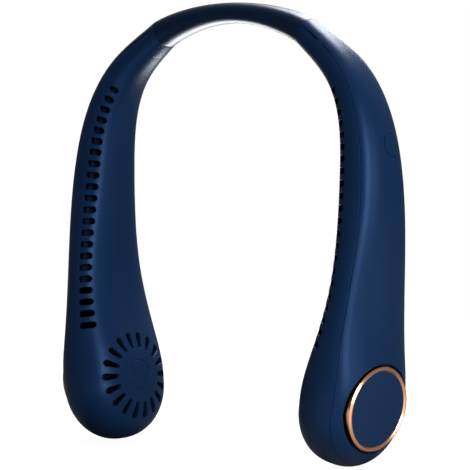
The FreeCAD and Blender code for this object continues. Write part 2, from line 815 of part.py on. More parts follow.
clamp_screw = screw("clamp_screw", "clamp_screw_radius", "clamp_head_radius", "clamp_head",
                    "sizes.neck_thickness - 2 * sizes.cover_depth - sizes.clamp_end_gap", screw_frame)
cap_screw_frame = local_frame(
    BLOWER_RUN, HALF_DISC - size("recess_depth") - size("recess_floor") - size("cap_screw_head"))
cap_screw = screw("cap_screw", "cap_screw_radius", "cap_screw_head_radius", "cap_screw_head",
                  "sizes.cap_screw_head + sizes.recess_floor + sizes.cap_screw_bite", cap_screw_frame)

# Cap: post on the recess floor, wide disc with a flange under the trim ring
cap = body_on("cap", recess_frame)
turn(cap, "cap_turned", [
    ("cap_bore", "0"), ("cap_post_radius", "0"), ("cap_post_radius", "ring_bottom"),
    ("cap_flange_radius", "ring_bottom"), ("cap_flange_radius", "cap_flange_top"),
    ("cap_radius", "cap_flange_top"), ("cap_radius", "cap_top"), ("0", "cap_top"),
    ("0", "cap_bore_top"), ("cap_bore", "cap_bore_top"),
])

# Trim ring: skirt over the flange and a crest that slopes down to the cap
trim = body_on("trim", recess_frame)
turn(trim, "trim_turned", [
    ("ring_bore", "ring_seat"), ("ring_skirt", "ring_seat"), ("ring_skirt", "ring_bottom"),
    ("ring_radius", "ring_bottom"), ("ring_radius", "ring_shoulder"), ("ring_crest_out", "ring_top"),
    ("ring_crest_in", "ring_top"), ("ring_bore", "ring_lip"),
])
doc.recompute()

# Motor plate with its bearing tube
motor_base = body_on("motor_base", floor_frame)
turn(motor_base, "motor_base_turned", [
    ("0", "motor_boss_height"), ("motor_plate_radius", "motor_boss_height"),
    ("motor_plate_radius", "base_top"), ("tube_radius", "base_top"),
    ("tube_radius", "tube_top"), ("bearing_radius", "tube_top"),
    ("bearing_radius", "base_top"), ("0", "base_top"),
])
plate_holes = sketch_on(motor_base, "plate_hole_profile", "XY_Plane", "base_top")
hole_radius = size("motor_screw_radius") + size("press_gap")
hole_circle = plate_holes.addGeometry(
    Part.Circle(Vector(size("motor_screw_circle"), 0, 0), Z_AXIS, hole_radius))
hole_index = plate_holes.addConstraint(Sketcher.Constraint("Radius", hole_circle, hole_radius))
plate_holes.setExpression("Constraints[%d]" % hole_index, "sizes.motor_screw_radius + sizes.press_gap")
pin(plate_holes, hole_circle, 3, "motor_screw_circle", "0")
plate_pocket = motor_base.newObject("PartDesign::Pocket", "plate_hole")
plate_pocket.Profile = plate_holes
plate_pocket.setExpression("Length", "sizes.motor_plate + sizes.fit_gap")
around(motor_base, "plate_hole_ring", plate_pocket, plate_holes, "motor_screw_count")

# Bearings: two sintered bushes at the ends of the tube
bearing_parts = []
bearing_heights = (size("base_top") + size("bearing_seat"), size("tube_top") - size("bearing_length"))
for index, height in enumerate(bearing_heights):
    seat = floor_frame.multiply(shift(0, 0, height))
    blank = cylinder("bearing_blank_%d" % index, cell("bearing_outer"), cell("bearing_length"), seat)
    bore = cylinder("bearing_bore_%d" % index, cell("bearing_bore"), cell("bearing_length"), seat)
    bearing_parts.append(cut("bearing_%d" % index, blank, bore))
bearings = group("bearings", bearing_parts)

# Stator: ring with poles, and one coil round each pole
stator = body_on("stator", floor_frame)
yoke_sketch = sketch_on(stator, "yoke_profile", "XY_Plane", "stator_bottom")
rings(yoke_sketch, ["stator_bore", "stator_yoke"])
pad(stator, "yoke", yoke_sketch, "stator_height")
pole_sketch = sketch_on(stator, "pole_profile", "XY_Plane", "stator_bottom")
pole_start = size("stator_bore") + size("pole_root")
half_pole = size("pole_width") / 2
pole_corners = [(pole_start, -half_pole), (size("stator_radius"), -half_pole)]
pole_corners += [(size("stator_radius"), half_pole), (pole_start, half_pole)]
for index in range(4):
    first = pole_corners[index]
    second = pole_corners[(index + 1) % 4]
    pole_sketch.addGeometry(Part.LineSegment(Vector(first[0], first[1], 0), Vector(second[0], second[1], 0)))
for index in range(4):
    pole_sketch.addConstraint(Sketcher.Constraint("Coincident", index, 2, (index + 1) % 4, 1))
for index, kind in ((0, "Horizontal"), (2, "Horizontal"), (3, "Vertical")):
    pole_sketch.addConstraint(Sketcher.Constraint(kind, index))
pole_sketch.addConstraint(Sketcher.Constraint("Symmetric", 1, 1, 1, 2, -1))
pole_sketch.addConstraint(Sketcher.Constraint("DistanceX", -1, 1, 0, 1, pole_start))
pole_reach = pole_sketch.addConstraint(Sketcher.Constraint("DistanceX", -1, 1, 1, 1, size("stator_radius")))
pole_sketch.setExpression("Constraints[%d]" % pole_reach, cell("stator_radius"))
pole_across = pole_sketch.addConstraint(Sketcher.Constraint("DistanceY", 1, 1, 1, 2, size("pole_width")))
pole_sketch.setExpression("Constraints[%d]" % pole_across, cell("pole_width"))
pole_pad = pad(stator, "pole", pole_sketch, "stator_height")
around(stator, "poles", pole_pad, pole_sketch, "pole_count")

coil_long = size("stator_radius") - size("stator_yoke") - size("coil_inner_gap") - size("coil_outer_gap")
coil_wide = size("pole_width") + 2 * size("coil_build")
coil_tall = size("stator_height") + 2 * size("coil_overhang")
coil_shape = Part.makeBox(coil_long, coil_wide, coil_tall)
coil_shape.translate(Vector(
    size("stator_yoke") + size("coil_inner_gap"),
    -coil_wide / 2, size("stator_bottom") - size("coil_overhang")))
core_hole = Part.makeBox(
    2 * coil_long, size("pole_width") + 2 * size("press_gap"),
    size("stator_height") + 2 * size("press_gap"))
core_hole.translate(Vector(size("stator_yoke"), -size("pole_width") / 2 - size("press_gap"),
                           size("stator_bottom") - size("press_gap")))
coil_group = spun(coil_shape.cut(core_hole), size("pole_count"))
coils = feature("coils", coil_group)
coils.Placement = floor_frame

# Rotor: steel can, magnet ring, shaft
can = body_on("can", floor_frame)
turn(can, "can_turned", [
    ("can_bore", "can_bottom"), ("can_radius", "can_bottom"), ("can_radius", "can_top"),
    ("shaft_seat", "can_top"), ("shaft_seat", "can_roof"), ("can_bore", "can_roof"),
])
magnet = body_on("magnet", floor_frame)
turn(magnet, "magnet_turned", [
    ("magnet_bore", "magnet_bottom"), ("magnet_outer", "magnet_bottom"),
    ("magnet_outer", "magnet_top"), ("magnet_bore", "magnet_top"),
])
shaft_frame = floor_frame.multiply(shift(0, 0, size("shaft_bottom")))
shaft = cylinder("shaft", cell("shaft_radius"), "sizes.shaft_top - sizes.shaft_bottom", shaft_frame)

# Impeller: hub cup over the can, web, curved blades and two rims
impeller = body_on("impeller", floor_frame)
turn(impeller, "hub", [
    ("shaft_seat", "can_top"), ("hub_bore", "can_top"), ("hub_bore", "hub_bottom"),
    ("hub_radius", "hub_bottom"), ("hub_radius", "can_top"), ("web_radius", "can_top"),
    ("web_radius", "hub_top"), ("shaft_seat", "hub_top"),
])


def arc_left(start, stop, radius):
    """Arc from start to stop, counterclockwise, with its centre left of the chord."""
    chord = stop - start
    rise = math.sqrt(radius ** 2 - (chord.Length / 2) ** 2)
    side = Vector(-chord.y, chord.x, 0)
    side.normalize()
    middle = (start + stop) * 0.5 + side * rise
    first = math.atan2(start.y - middle.y, start.x - middle.x)
    last = math.atan2(stop.y - middle.y, stop.x - middle.x)
    return Part.ArcOfCircle(Part.Circle(middle, Z_AXIS, radius), first, last)


blade_sketch = sketch_on(impeller, "blade_profile", "XY_Plane", "blade_bottom")
inner_low = Vector(size("blade_inner"), 0, 0)
inner_high = Vector(size("blade_inner"), size("blade_thickness"), 0)
outer_low = Vector(size("blade_out_x"), size("blade_out_y"), 0)
outer_high = Vector(size("blade_out_x"), size("blade_out_y2"), 0)
blade_sketch.addGeometry(arc_left(inner_low, outer_low, size("blade_curve")))
blade_sketch.addGeometry(Part.LineSegment(outer_low, outer_high))
blade_sketch.addGeometry(arc_left(inner_high, outer_high, size("blade_curve")))
blade_sketch.addGeometry(Part.LineSegment(inner_high, inner_low))
for first, first_end, second, second_end in ((0, 2, 1, 1), (1, 2, 2, 2), (2, 1, 3, 1), (3, 2, 0, 1)):
    blade_sketch.addConstraint(Sketcher.Constraint("Coincident", first, first_end, second, second_end))
for item in (0, 2):
    curve_index = blade_sketch.addConstraint(Sketcher.Constraint("Radius", item, size("blade_curve")))
    blade_sketch.setExpression("Constraints[%d]" % curve_index, cell("blade_curve"))
pin(blade_sketch, 0, 1, "blade_inner", "0")
pin(blade_sketch, 0, 2, "blade_out_x", "blade_out_y")
pin(blade_sketch, 2, 1, "blade_inner", "blade_thickness")
pin(blade_sketch, 2, 2, "blade_out_x", "blade_out_y2")
blade = pad(impeller, "blade", blade_sketch, "blade_height")
around(impeller, "blades", blade, blade_sketch, "blade_count")
for rim_name, rim_height in (("lower_rim", "blade_bottom"), ("upper_rim", "upper_rim")):
    rim_sketch = sketch_on(impeller, rim_name + "_profile", "XY_Plane", rim_height)
    rings(rim_sketch, ["rim_inner", "impeller_radius"])
    impeller.Tip = pad(impeller, rim_name + "_ring", rim_sketch, "rim_height")
doc.recompute()

# Motor screws: three alike
motor_screw_frame = floor_frame.multiply(Placement(
    Vector(size("motor_screw_circle"), 0, size("base_top") + size("motor_screw_head")),
    FreeCAD.Rotation(X_AXIS, 180)))
motor_screw = screw("motor_screw", "motor_screw_radius", "motor_screw_head_radius", "motor_screw_head",
                    "sizes.motor_screw_head + sizes.motor_plate + sizes.motor_screw_bite", motor_screw_frame)
doc.recompute()
axis_point = centre(BLOWER_RUN)[0]
motor_screws = feature("motor_screws", spun(
    motor_screw.Shape, size("motor_screw_count"), axis_point, outward(BLOWER_RUN)))


def half_chord(run, offset, inset):
    """Half width of the casing section at an offset from its middle, drawn in by inset."""
    share = abs(offset) / (half_thick(run) - inset)
    return (half_width(run) - inset) * (1 - share ** power(run)) ** (1 / power(run))


# Duct plate: splits the air duct from the cell bay, its edges beside the casing wall
plate_wires = []
plate_low = -size("plate_offset") - size("plate_thickness") / 2
plate_high = plate_low + size("plate_thickness")
for run in evenly(size("plate_start"), size("plate_end"), 7):
    reach = half_chord(run, plate_low, size("wall")) - size("fit_gap")
    point = centre(run)[0]
    normal = outward(run)
    corners = [point + normal * plate_low - BACK * reach, point + normal * plate_low + BACK * reach]
    corners += [point + normal * plate_high + BACK * reach, point + normal * plate_high - BACK * reach]
    plate_wires.append(Part.makePolygon(corners + corners[:1]))
duct_plate = feature("duct_plate", Part.makeLoft(plate_wires, True))

# Cell: rounded block on the duct plate
cell_frame = local_frame(size("cell_run"), plate_high + size("fit_gap"))
cell_block = box("cell_block", "cell_width", "cell_length", "cell_thickness", cell_frame)
power_cell = doc.addObject("Part::Fillet", "power_cell")
power_cell.Base = cell_block
power_cell.Edges = [(index, size("cell_round"), size("cell_round")) for index in (2, 4, 6, 8)]
doc.recompute()


def swept_wire(points_and_arcs, radius):
    """Round wire along straight runs and tangent arcs, given as edges in order."""
    path = Part.Wire(points_and_arcs)
    start = path.Edges[0]
    origin = start.valueAt(start.FirstParameter)
    direction = start.tangentAt(start.FirstParameter)
    ring = Part.Wire(Part.makeCircle(radius, origin, direction))
    return path.makePipeShell([ring], True, True)


def arc_along(start, stop, offset):
    """Arc beside the centreline between two runs that lie on one of its arcs."""
    mid = (start + stop) / 2
    places = [centre(run)[0] + outward(run) * offset for run in (start, mid, stop)]
    return Part.Arc(places[0], places[1], places[2]).toShape()


# Motor lead: from the motor plate along the floor, then up to the cell
straight = size("impeller_radius") - size("motor_plate_radius") + size("lead_clearance")
bend_start = size("motor_plate_radius") + size("fit_gap") + straight


def lead_floor(reach, bend):
    """Least height of the straight lead for its bend to clear the inner wall at a reach past its start."""
    run = BLOWER_RUN - bend_start - reach
    wall_point = centre(run)[0] - outward(run) * (half_thick(run) - size("wall"))
    wall_height = (wall_point - centre(BLOWER_RUN)[0]).dot(outward(BLOWER_RUN))
    rise = bend - math.sqrt(bend ** 2 - reach ** 2)
    return wall_height + size("lead_radius") + size("lead_wall_gap") - rise


lead_high = plate_high + size("cell_thickness") / 2
lead_low = size("wall") - HALF_DISC + size("lead_height")
lead_bend = (lead_high - lead_low) / 2
lead_low = max([lead_low] + [lead_floor(reach, lead_bend) for reach in evenly(0, lead_bend, 9)])
lead_bend = (lead_high - lead_low) / 2
lead_from = centre(BLOWER_RUN)[0] - along(BLOWER_RUN) * (size("motor_plate_radius") + size("fit_gap"))
lead_from = lead_from + outward(BLOWER_RUN) * lead_low
lead_up = -along(BLOWER_RUN)
lead_out = outward(BLOWER_RUN)
lead_places = [lead_from, lead_from + lead_up * straight]
bend_far = lead_bend * math.sin(math.pi / 4)
bend_near = lead_bend * (1 - math.cos(math.pi / 4))
bend_mid = lead_places[1] + lead_up * bend_far + lead_out * bend_near
bend_end = lead_places[1] + lead_up * lead_bend + lead_out * lead_bend
over_mid = bend_end + lead_out * bend_far + lead_up * bend_near
over_end = bend_end + lead_up * lead_bend + lead_out * lead_bend
cell_half = size("cell_length") / 2 + size("fit_gap")
cell_point = centre(size("cell_run"))[0] + along(size("cell_run")) * cell_half
reach_left = (over_end - cell_point).dot(along(BLOWER_RUN))
lead_end = over_end + lead_up * reach_left
lead_edges = [
    Part.LineSegment(lead_places[0], lead_places[1]).toShape(),
    Part.Arc(lead_places[1], bend_mid, bend_end).toShape(),
    Part.Arc(bend_end, over_mid, over_end).toShape(),
    Part.LineSegment(over_end, lead_end).toShape(),
]
motor_lead = feature("motor_lead", swept_wire(lead_edges, size("lead_radius")))

# Control board with the switch and the charging socket
board_low = plate_high + size("fit_gap")
board_top = board_low + size("board_thickness")
board_frame = local_frame(size("board_run"), board_low)
board = box("board", "board_width", "board_length", "board_thickness", board_frame)
switch_frame = local_frame(
    size("board_run"), board_top, size("button_back"), size("button_run") - size("board_run"))
switch_block = box("switch_block", "switch_width", "switch_width", "switch_height", switch_frame)
plunger_seat = size("switch_height") + size("plunger_proud") - size("plunger_length")
well_frame = switch_frame.multiply(shift(0, 0, plunger_seat - size("button_travel") - size("plunger_floor")))
switch_well = cylinder("switch_well", "sizes.plunger_radius + sizes.plunger_gap",
                       cell("switch_height"), well_frame)
switch_body = cut("switch_body", switch_block, switch_well)
plunger_frame = switch_frame.multiply(shift(0, 0, plunger_seat))
plunger = cylinder("plunger", cell("plunger_radius"), cell("plunger_length"), plunger_frame)

# Power button: flush disc with a retaining flange and a stem onto the plunger
button_out = board_top + size("switch_height") + size("plunger_proud")
button_frame = switch_frame.multiply(
    shift(0, 0, size("switch_height") + size("plunger_proud")))
button_face = half_thick(size("button_run"))
flange_base = button_face - button_out - size("button_flange_depth") - size("button_flange")
flange_frame = button_frame.multiply(shift(0, 0, flange_base))
button_stem = cylinder("button_stem", cell("button_stem_radius"), cell("disc_thickness"), button_frame)
button_flange = cylinder("button_flange", "sizes.button_radius + sizes.button_lip",
                         cell("button_flange"), flange_frame)
button_disc = cylinder("button_disc", cell("button_radius"), cell("disc_thickness"), flange_frame)
button_raw = fuse("button_raw", [button_stem, button_flange, button_disc])
button_space = feature("button_space", side_solid(block_end, 0, True, parting(-4 * OPEN)))
power_button = common("power_button", [button_raw, button_space])
button_hole = cylinder("button_hole", "sizes.button_radius + sizes.button_gap",
                       cell("disc_thickness"), flange_frame)

# Charging socket: metal shell with a contact tongue, its mouth in the back wall
socket_mid = board_top + size("socket_height") / 2
socket_wall_out = half_chord(size("socket_run"), socket_mid, 0)
socket_mouth = socket_wall_out - size("socket_inset")
socket_middle = local_frame(
    size("board_run"), socket_mid, socket_mouth, size("socket_run") - size("board_run"))
SOCKET_LONG = Y_AXIS
SOCKET_SHORT = Z_AXIS


def socket_prism(grow, start, depth):
    """Round-ended prism on the socket axis, from a start outside the mouth inward."""
    face = stadium(Vector(start, 0, 0), SOCKET_LONG, SOCKET_SHORT,
                   size("socket_width") + 2 * grow, size("socket_height") + 2 * grow)
    return face.extrude(X_AXIS * -depth)


socket_shape = socket_prism(0, 0, size("socket_depth"))
socket_shape = socket_shape.cut(
    socket_prism(-size("socket_wall"), 0, size("socket_depth") - size("socket_back")))
socket_shell = feature("socket_shell", socket_shape)
socket_shell.Placement = socket_middle
tongue_length = size("socket_depth") - size("socket_back") - size("tongue_sunk")
tongue_shape = Part.makeBox(tongue_length, size("tongue_width"), size("tongue_thickness"))
tongue_shape.translate(Vector(
    -size("tongue_sunk") - tongue_length, -size("tongue_width") / 2, -size("tongue_thickness") / 2))
socket_tongue = feature("socket_tongue", tongue_shape)
socket_tongue.Placement = socket_middle.multiply(tongue_shape.Placement)
port_tool = feature("port_tool", socket_prism(
    size("socket_gap"), size("socket_depth"), 2 * size("socket_depth")))
port_tool.Placement = socket_middle

# Right shells get the port and the button hole
right_inner_shell = cut("right_inner_shell", inner_shell, port_tool)
right_outer_shell = cut("right_outer_shell", outer_shell, button_hole)

# Band: silicone sleeve over both spigots with a channel for the strip and the cable
band_form = feature("band_form", loft([section(run, 0) for run in evenly(-seam_run, seam_run, 11)]))
band_channel = feature("band_channel", strip_solid(
    -seam_run - size("wall"), seam_run + size("wall"), -channel_half, channel_half, size("channel_width")))
left_plug = doc.addObject("Part::Mirroring", "left_plug")
left_plug.Source = plug
left_plug.Normal = X_AXIS
band_bored = cut("band_bored", band_form, band_channel)
band_right_end = cut("band_right_end", band_bored, plug)
neck_band = cut("neck_band", band_right_end, left_plug)

# Spring strip through the band, with a hole at each end for the clamp screw
strip_end = screw_run + size("strip_tail")
strip_low = size("strip_offset") - size("strip_thickness") / 2
strip_shape = strip_solid(
    -strip_end, strip_end, strip_low, strip_low + size("strip_thickness"), size("strip_width"))
for side in (-1, 1):
    hole = Part.makeCylinder(size("clamp_screw_hole"), size("neck_thickness"))
    hole.Placement = local_frame(side * screw_run, -size("neck_thickness") / 2)
    strip_shape = strip_shape.cut(hole)
spring_strip = feature("spring_strip", strip_shape)

# Cable between the arms, beside the clamp screws, from the board to the left cell
cable_depth = -size("cable_offset")
cable_right = size("board_run") - size("board_length") / 2 - size("cable_end_gap")
cable_edges = [
    arc_along(-cable_right, -ARC_RUNS[0], cable_depth),
    arc_along(-ARC_RUNS[0], ARC_RUNS[0], cable_depth),
    arc_along(ARC_RUNS[0], cable_right, cable_depth),
]
cable_shape = swept_wire(cable_edges, size("cable_radius"))
cable_shape.translate(BACK * size("cable_back"))
band_cable = feature("band_cable", cable_shape)
doc.recompute()


def mirrored(source, label):
    """The same piece on the left arm."""
    obj = doc.addObject("Part::Mirroring", label)
    obj.Source = source
    obj.Normal = X_AXIS
    return node(obj, label)


node(neck_band, "neck_band")
node(spring_strip, "spring_strip")
node(band_cable, "band_cable")
SIDED = [
    (inner_shell, "inner_shell"), (outer_shell, "outer_shell"), (screw_cover, "screw_cover"),
    (clamp_screw, "clamp_screw"), (cap, "intake_cap"), (trim, "trim_ring"), (cap_screw, "cap_screw"),
    (motor_base, "motor_base"), (bearings, "motor_bearings"), (stator, "stator_core"),
    (coils, "stator_coils"), (motor_screws, "motor_screws"), (can, "rotor_can"),
    (magnet, "rotor_magnet"), (shaft, "motor_shaft"), (impeller, "impeller"),
    (duct_plate, "duct_plate"), (power_cell, "battery_cell"), (motor_lead, "motor_lead"),
]
for piece, label in SIDED:
    mirrored(piece, "left_" + label)
for piece, label in SIDED[2:]:
    node(piece, "right_" + label)
node(right_inner_shell, "right_inner_shell")
node(right_outer_shell, "right_outer_shell")
node(board, "control_board")
node(switch_body, "switch_body")
node(plunger, "switch_plunger")
node(power_button, "power_button")
node(socket_shell, "charge_socket")
node(socket_tongue, "charge_tongue")
doc.recompute()

# Every object has to be sound before anything is written
faults = [obj.Label for obj in doc.Objects if "Invalid" in obj.State or "Error" in obj.State]
for obj in nodes:
    if obj.Shape.isNull() or not obj.Shape.isValid() or obj.Shape.Volume <= 0:
        faults.append(obj.Label + " shape")
if faults:
    raise RuntimeError("unsound: " + ", ".join(faults))
os.makedirs("parts", exist_ok=True)
for obj in nodes:
    obj.Shape.exportStep("parts/%s.step" % obj.Label)
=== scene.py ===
import math

import bmesh
import bpy
import numpy as np
from mathutils import Matrix, Vector


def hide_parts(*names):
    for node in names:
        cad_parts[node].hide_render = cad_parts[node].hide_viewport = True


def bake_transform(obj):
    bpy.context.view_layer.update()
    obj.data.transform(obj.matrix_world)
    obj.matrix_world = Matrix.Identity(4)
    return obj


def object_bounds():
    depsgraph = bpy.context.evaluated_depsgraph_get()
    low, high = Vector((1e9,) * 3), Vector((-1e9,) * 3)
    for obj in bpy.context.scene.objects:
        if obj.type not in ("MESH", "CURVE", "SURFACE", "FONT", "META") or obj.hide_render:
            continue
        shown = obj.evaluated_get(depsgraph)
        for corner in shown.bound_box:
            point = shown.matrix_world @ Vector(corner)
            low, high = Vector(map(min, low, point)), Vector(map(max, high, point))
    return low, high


# Neck fan: satin navy arms, silicone band, rose gold rings. Lengths in metres, angles in radians.
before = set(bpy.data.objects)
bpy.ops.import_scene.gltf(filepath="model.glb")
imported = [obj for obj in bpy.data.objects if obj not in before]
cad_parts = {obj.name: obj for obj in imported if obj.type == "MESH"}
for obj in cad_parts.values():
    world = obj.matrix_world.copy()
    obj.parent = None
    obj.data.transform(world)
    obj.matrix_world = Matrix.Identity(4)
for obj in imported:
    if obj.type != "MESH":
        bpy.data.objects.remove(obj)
cad_box = [list(corner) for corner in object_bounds()]

# Centreline of one half: two tangent arcs from the crown to beyond the band's seam
CROWN_RADIUS = 0.117
CROWN_ANGLE = math.radians(18.0)
SHOULDER_RADIUS = 0.0665
CROWN_RUN = CROWN_RADIUS * CROWN_ANGLE
TOTAL_RUN = 0.22654
SEAM_RUN = 0.046

# Section of the arm at stations along the centreline
STATION_RUNS = np.array([0.0, 0.0498, 0.0951, 0.1359, 0.1812, TOTAL_RUN])
STATION_WIDTHS = np.array([0.013, 0.015, 0.0250, 0.0323, 0.0432, 0.052])
STATION_THICKNESSES = np.array([0.0095, 0.0135, 0.0184, 0.0226, 0.0226, 0.035])
CROWN_POWER = 2.6
DISC_POWER = 2.45

# Hollow of the band: a pocket for each arm's spigot and a channel between them.
# Each half size is across the thickness, then across the width.
POCKET_DEPTH = 0.00715
POCKET_HALF = (0.00415, 0.00485)
CHANNEL_HALF = (0.0026, 0.0035)
HOLLOW_POWER = 24.0
LIP_ROUND = 0.0003

# How finely the band's surface is divided, and where its shading breaks
RING_POINTS = 96
SKIN_ROWS = 40
LIP_ROWS = 7
CHANNEL_ROWS = 16
SHARP_ANGLE = math.radians(40.0)

# Cutting a CAD mesh in half
WELD_DISTANCE = 1e-6
CUT_TOLERANCE = 1e-7

# Blower axis of the right arm; the left one is its mirror image
DISC_CENTRE = (0.074067, 0.0, -0.166960)
DISC_AXIS = (0.987414, 0.0, -0.158158)

# Moulded skin: noise scales are repeats per metre, ranges are the noise stretched to 0..1
GRAIN_SCALE = 2500.0
GRAIN_DEPTH = 1.2e-5
CLOUD_SCALE = 45.0
CLOUD_RANGE = (0.3, 0.7)
HAIR_TURN = (0.4, 0.7, 0.3)
HAIR_SCALE = (2600.0, 70.0, 300.0)
HAIR_RANGE = (0.66, 0.8)

# Turned metal
LINE_SCALE = 9000.0
LINE_DEPTH = 2e-6
STREAK_SCALE = 160.0

# Radius at which the casing's edges catch light
CASING_EDGE = 0.0004
EDGE_SAMPLES = 8

# Floor: its glow shows to the camera, and to reflections from a line in front of the object on
FLOOR_HALF = 0.9
FLOOR_DROP = 0.0005
FLOOR_SHADE = (0.12, 0.12, 0.12, 1.0)
FLOOR_ROUGH = 0.9
FLOOR_GLOW = 0.95
FLOOR_FRONT = (0.75, -0.66, 0.0)
FLOOR_FRONT_RANGE = (0.055, 0.11)

# Dome: dim at the horizon, brighter overhead; the range is the height of a direction
DOME_HORIZON = (0.08, 0.085, 0.095, 1.0)
DOME_TOP = (0.25, 0.255, 0.27, 1.0)
DOME_RANGE = (0.10, 0.60)
WHITE = (1.0, 1.0, 1.0, 1.0)

# Lamps: place, aim, width, height and the glow of the face
LAMPS = {
    "key": ((1.26, -0.61, 0.21), (0.0, 0.0, -0.09), 0.45, 0.82, 14.0),
    "side": ((1.39, 0.08, 0.16), (0.0, 0.0, -0.09), 0.6, 0.72, 3.4),
    "overhead": ((-0.27, 0.48, 0.90), (0.0, 0.0, 0.0), 0.5, 0.55, 20.0),
    "rim": ((-0.46, 0.91, 0.53), (0.0, 0.0, 0.0), 0.24, 0.57, 10.0),
    "under": ((-0.23, 0.133, -0.165), (-0.33, 0.233, 0.835), 0.24, 0.24, 13.0),
}

# Viewpoint of the photograph; lens and sensor in millimetres
VIEW_AZIMUTH = math.radians(42.72)
VIEW_ELEVATION = math.radians(2.02)
VIEW_ROLL = math.radians(1.06)
VIEW_DISTANCE = 1.3569
VIEW_TARGET = Vector((-0.00145, 0.00397, -0.09650))
VIEW_LENS = 227.08
SENSOR = 36.0


# Band -------------------------------------------------------------------------------------------
def flat_ended_spline(knots, values, at):
    """Cubic spline through the values with level ends.

    The slopes come from the three-term equations, and Hermite arcs run between the knots.
    """
    step = np.diff(knots)
    rise = np.diff(values) / step
    count = len(knots)
    matrix = np.eye(count)
    right = np.zeros(count)
    inner = np.arange(1, count - 1)
    matrix[inner, inner - 1] = 1 / step[:-1]
    matrix[inner, inner] = 2 / step[:-1] + 2 / step[1:]
    matrix[inner, inner + 1] = 1 / step[1:]
    right[inner] = 3 * (rise[:-1] / step[:-1] + rise[1:] / step[1:])
    slopes = np.linalg.solve(matrix, right)
    span = np.clip(np.searchsorted(knots, at, side="right") - 1, 0, count - 2)
    t = (at - knots[span]) / step[span]
    return (
        values[span] * (1 + 2 * t) * (1 - t) ** 2
        + values[span + 1] * t ** 2 * (3 - 2 * t)
        + step[span] * (slopes[span] * t * (1 - t) ** 2 - slopes[span + 1] * t ** 2 * (1 - t))
    )


def centreline(run):
    """Points and outward normals at runs from the crown.

    On each arc a point is the radius times the sine and cosine of the heading.
    """
    first = np.minimum(run, CROWN_RUN) / CROWN_RADIUS
    heading = first + np.maximum(run - CROWN_RUN, 0) / SHOULDER_RADIUS
    top = STATION_THICKNESSES[0] / 2
    x = CROWN_RADIUS * np.sin(first) + SHOULDER_RADIUS * (np.sin(heading) - np.sin(first))
    z = (
        top + CROWN_RADIUS * (np.cos(first) - 1)
        + SHOULDER_RADIUS * (np.cos(heading) - np.cos(first))
    )
    zero = np.zeros_like(x)
    return np.stack([x, zero, z], 1), np.stack([np.sin(heading), zero, np.cos(heading)], 1)


def rounded_rings(run, half_thick, half_width, power, points):
    """Rings |a/thick|^p + |b/width|^p = 1 across the centreline, one row of points for each run."""
    angle = np.linspace(0, 2 * np.pi, points, endpoint=False)
    c = np.cos(angle)[None, :]
    s = np.sin(angle)[None, :]
    p = power[:, None]
    reach = (np.abs(c) ** p + np.abs(s) ** p) ** (-1 / p)
    middle, outward = centreline(run)
    back = np.array([0.0, 1.0, 0.0])
    across = (half_thick[:, None] * reach * c)[:, :, None] * outward[:, None, :]
    along = (half_width[:, None] * reach * s)[:, :, None] * back
    return middle[:, None, :] + across + along


def ring_mesh(name, grid, mirrored=False):
    """Closed surface from rows of rings.

    Each point joins the next on its ring and on the next row, round both ways.
    """
    rows, points = grid.shape[:2]
    places = grid.reshape(-1, 3).copy()
    row, column = np.meshgrid(np.arange(rows), np.arange(points), indexing="ij")
    next_row = (row + 1) % rows
    next_column = (column + 1) % points
    quads = np.stack([
        row * points + column, row * points + next_column,
        next_row * points + next_column, next_row * points + column,
    ], -1).reshape(-1, 4)
    if mirrored:
        places[:, 0] *= -1
        quads = quads[:, ::-1]
    mesh = bpy.data.meshes.new(name)
    mesh.vertices.add(len(places))
    mesh.vertices.foreach_set("co", places.ravel())
    mesh.loops.add(quads.size)
    mesh.loops.foreach_set("vertex_index", quads.ravel())
    mesh.polygons.add(len(quads))
    mesh.polygons.foreach_set("loop_start", np.arange(0, quads.size, 4))
    mesh.polygons.foreach_set("use_smooth", np.ones(len(quads), bool))
    mesh.update(calc_edges=True)
    mesh.set_sharp_from_angle(angle=SHARP_ANGLE)
    piece = bpy.data.objects.new(name, mesh)
    bpy.context.scene.collection.objects.link(piece)
    return piece


def section_law(run):
    """Half thickness, half width and power of the arm's section at each run.

    Splines through the stations give the sizes; the power goes evenly from crown to disc.
    """
    share = run / TOTAL_RUN
    return (
        flat_ended_spline(STATION_RUNS, STATION_THICKNESSES, run) / 2,
        flat_ended_spline(STATION_RUNS, STATION_WIDTHS, run) / 2,
        CROWN_POWER * (1 - share) + DISC_POWER * share,
    )


def band_half(name, mirrored):
    """Half of the silicone sleeve as one closed run of rings.

    The rings go along the outer skin, round a quarter turn at the lip, into the spigot pocket
    and back to the crown through the channel.
    """
    skin = (SEAM_RUN - LIP_ROUND) * (1 - np.cos(np.linspace(0, np.pi / 2, SKIN_ROWS)))
    turn = np.linspace(0, np.pi / 2, LIP_ROWS)[1:]
    lip = SEAM_RUN - LIP_ROUND * (1 - np.sin(turn))
    thick, width, power = section_law(np.concatenate([skin, lip]))
    drawn_in = np.concatenate([np.zeros(len(skin)), LIP_ROUND * (1 - np.cos(turn))])
    floor = SEAM_RUN - POCKET_DEPTH
    pocket = np.array([SEAM_RUN, floor])
    channel = np.linspace(floor, 0, CHANNEL_ROWS)

    def with_hollow(outer, pocket_half, channel_half):
        return np.concatenate([
            outer - drawn_in,
            np.full(len(pocket), pocket_half),
            np.full(len(channel), channel_half),
        ])

    run = np.concatenate([skin, lip, pocket, channel])
    half_thick = with_hollow(thick, POCKET_HALF[0], CHANNEL_HALF[0])
    half_width = with_hollow(width, POCKET_HALF[1], CHANNEL_HALF[1])
    powers = np.concatenate([power, np.full(len(pocket) + len(channel), HOLLOW_POWER)])
    rings = rounded_rings(run, half_thick, half_width, powers, RING_POINTS)
    return ring_mesh(name, rings, mirrored)


